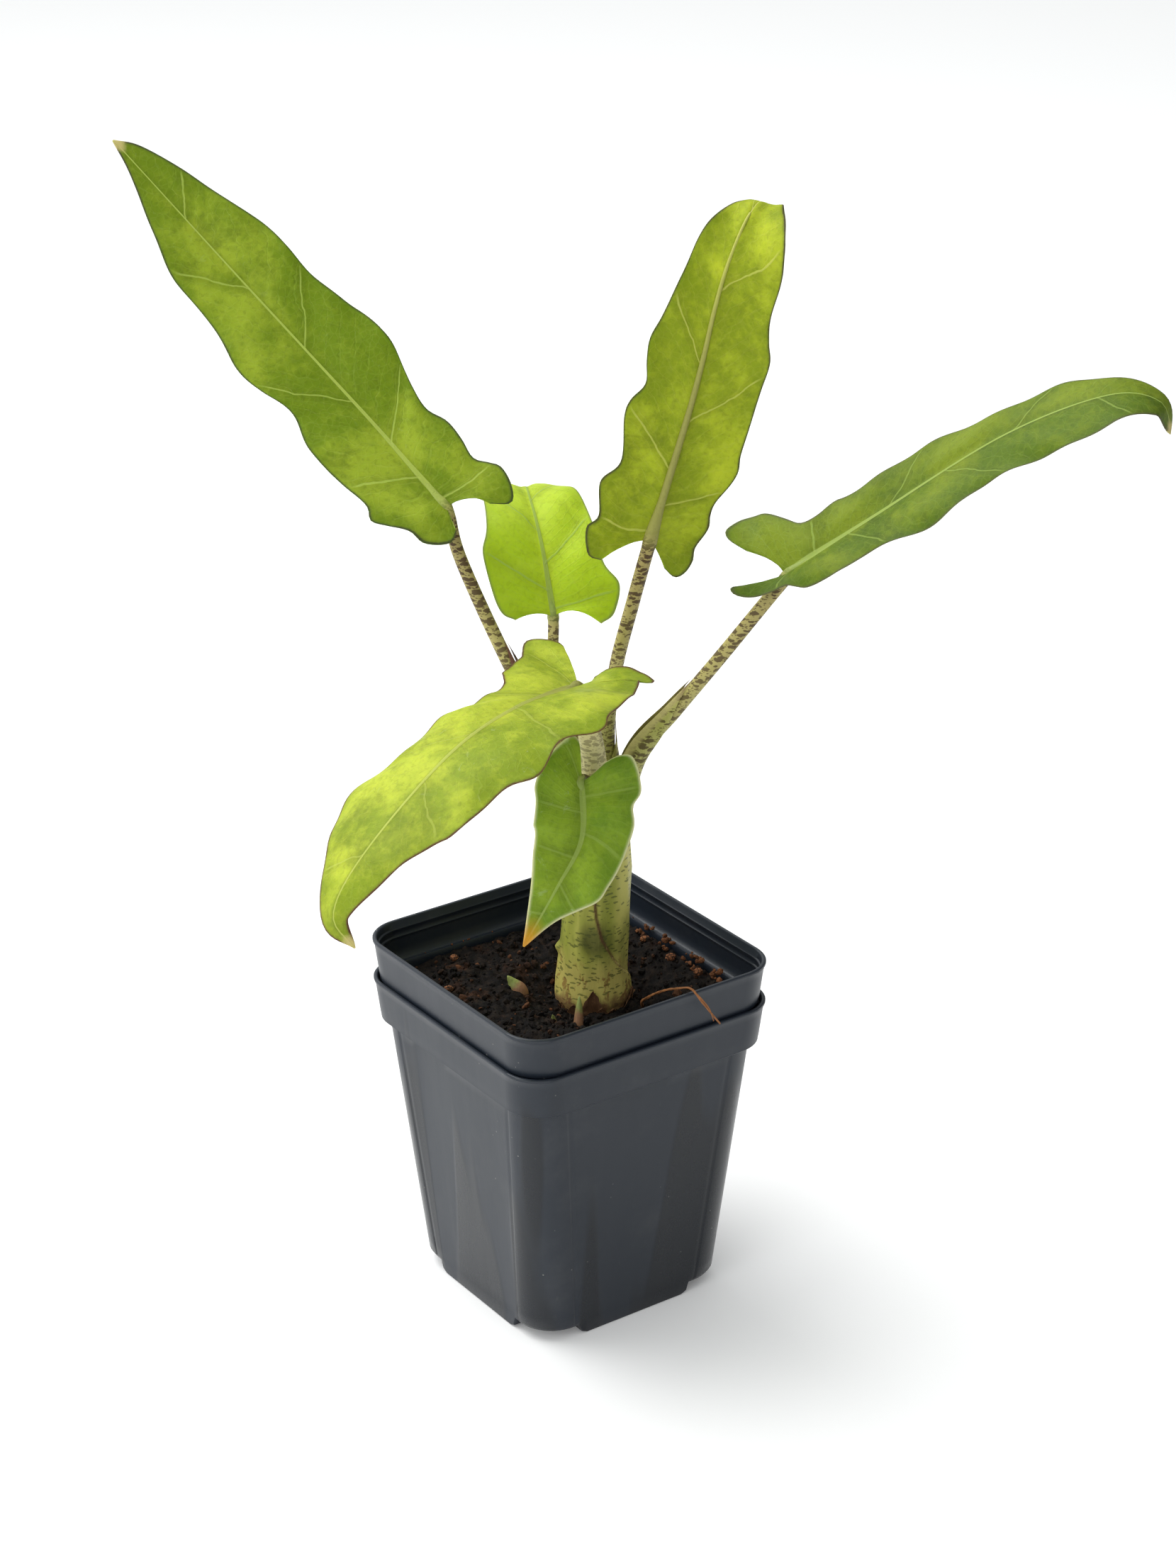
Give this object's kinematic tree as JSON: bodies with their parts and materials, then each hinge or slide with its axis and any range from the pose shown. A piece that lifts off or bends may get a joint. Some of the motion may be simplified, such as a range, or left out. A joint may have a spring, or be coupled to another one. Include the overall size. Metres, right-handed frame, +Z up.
{
  "type": "potted alocasia",
  "caption": "Young arrow-leaved houseplant with long speckled leaf stalks, growing in a black square nursery pot nested in a second one.",
  "frame": {"origin": "middle of the outer pot's underside, on the surface that the pot stands on", "axes": "+Z up; X and Y square to the pot's sides; the plant's two lowest leaves hang towards -X"},
  "size_m": [0.2562, 0.2566, 0.3745],
  "materials": {
    "pot_plastic": "moulded black plastic with a satin sheen",
    "potting_mix": "damp dark peat and bark crumbs",
    "bark": "coarse reddish bark chip",
    "stem": "olive green with short dark marks",
    "stalk": "cream-yellow with short dark brown bars",
    "leaf": "satin lime to olive green with pale veins and a thin dark margin",
    "dry_scale": "dry brown papery scale",
    "dry_root": "dry orange-brown root"
  },
  "bodies": {
    "root": {"outer_pot": "pot_plastic", "inner_pot": "pot_plastic", "potting_mix": "potting_mix", "pseudostem": "stem", "papery_scale_front": "dry_scale", "papery_scale_side": "dry_scale", "blade_left": "leaf", "stalk_left": "stalk", "blade_upright": "leaf", "stalk_upright": "stalk", "blade_right": "leaf", "stalk_right": "stalk", "blade_back": "leaf", "stalk_back": "stalk", "blade_arching": "leaf", "stalk_arching": "stalk", "blade_front": "leaf", "stalk_front": "stalk", "offset_large": "stem", "offset_small": "stem", "old_stub": "stem", "dry_root": "dry_root", "bark_chip_1": "bark", "bark_chip_2": "bark", "bark_chip_3": "bark", "bark_chip_4": "bark", "bark_chip_5": "bark", "bark_chip_6": "bark"}
  },
  "joints": []
}
